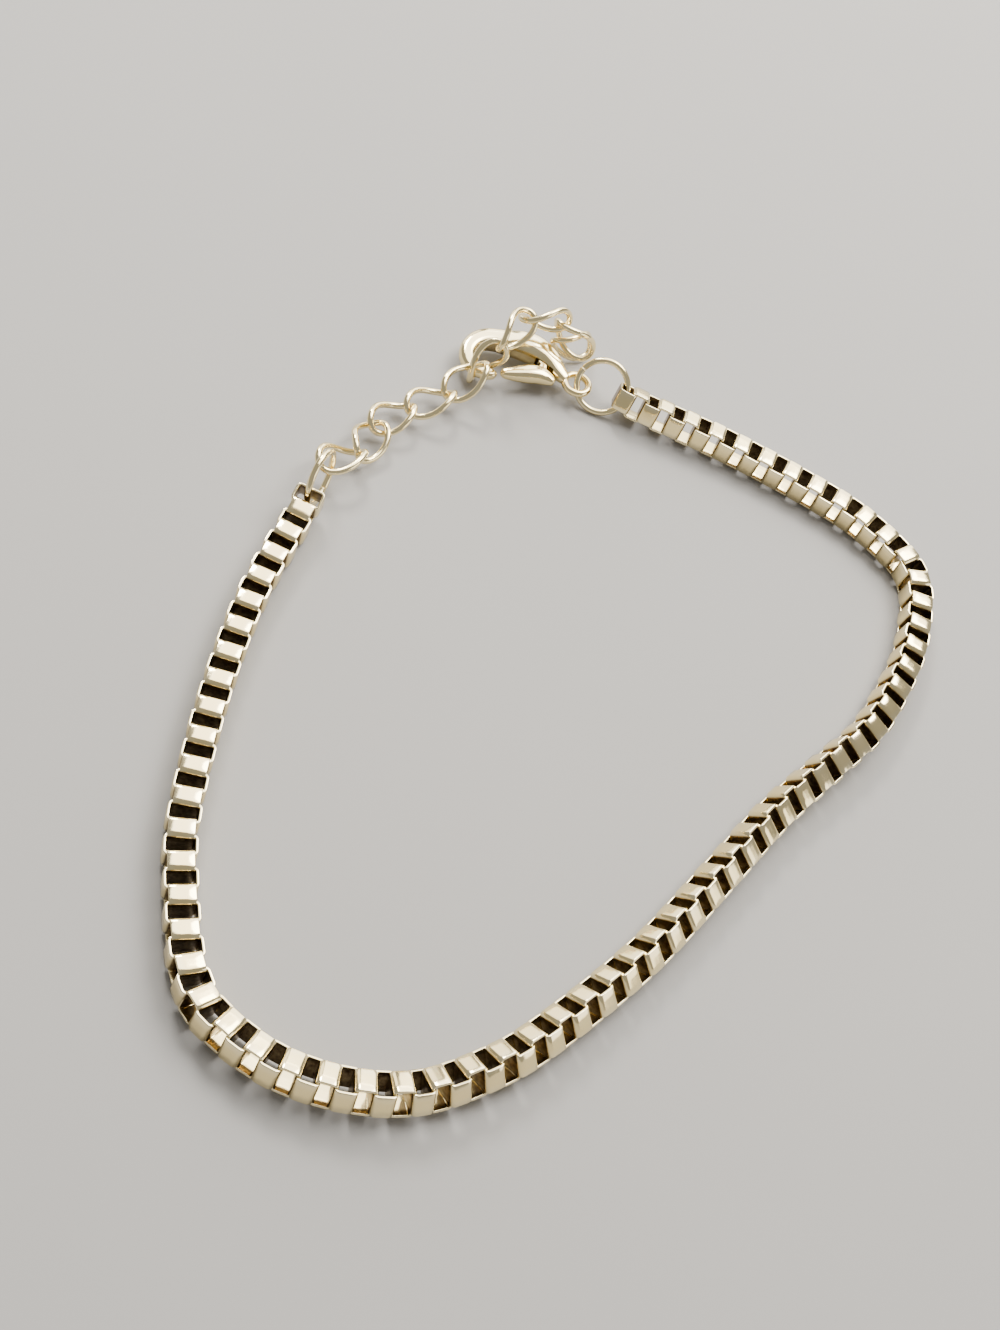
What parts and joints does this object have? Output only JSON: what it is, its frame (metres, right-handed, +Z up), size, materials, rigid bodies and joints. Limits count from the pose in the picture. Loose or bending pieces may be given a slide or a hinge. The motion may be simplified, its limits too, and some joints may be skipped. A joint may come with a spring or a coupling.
{
  "type": "box chain bracelet",
  "caption": "Box chain bracelet lying in a loop, with an extender of oval links and a lobster clasp closed on it.",
  "frame": {"origin": "middle of the bracelet's box on the surface it lies on", "axes": "+Z up from the surface, +Y from the near side of the loop to the clasp, +X to the right"},
  "size_m": [0.054, 0.077, 0.0068],
  "materials": {
    "chain_gold": "polished gold plating",
    "ring_gold": "polished gold plating",
    "extender_gold": "polished gold plating, worn pale",
    "clasp_gold": "polished gold plating over a casting"
  },
  "bodies": {
    "bracelet": {"box_chain": "chain_gold", "extender_jump_ring": "ring_gold", "clasp_jump_ring": "ring_gold", "extender_link_01": "extender_gold", "extender_link_02": "extender_gold", "extender_link_03": "extender_gold", "extender_link_04": "extender_gold", "extender_link_05": "extender_gold", "extender_link_06": "extender_gold", "extender_link_07": "extender_gold", "extender_link_08": "extender_gold", "extender_link_09": "extender_gold", "extender_link_10": "extender_gold", "clasp_body": "clasp_gold"},
    "clasp_lever": {"clasp_lever": "clasp_gold"}
  },
  "joints": [
    {"name": "lever_hinge", "type": "hinge", "parent": "bracelet", "child": "clasp_lever", "pos_m": [-0.01402, 0.03315, 0.00147], "axis": [0, 0, -1], "range_deg": [0, 24], "stiffness_Nm_per_rad": 0.01}
  ]
}
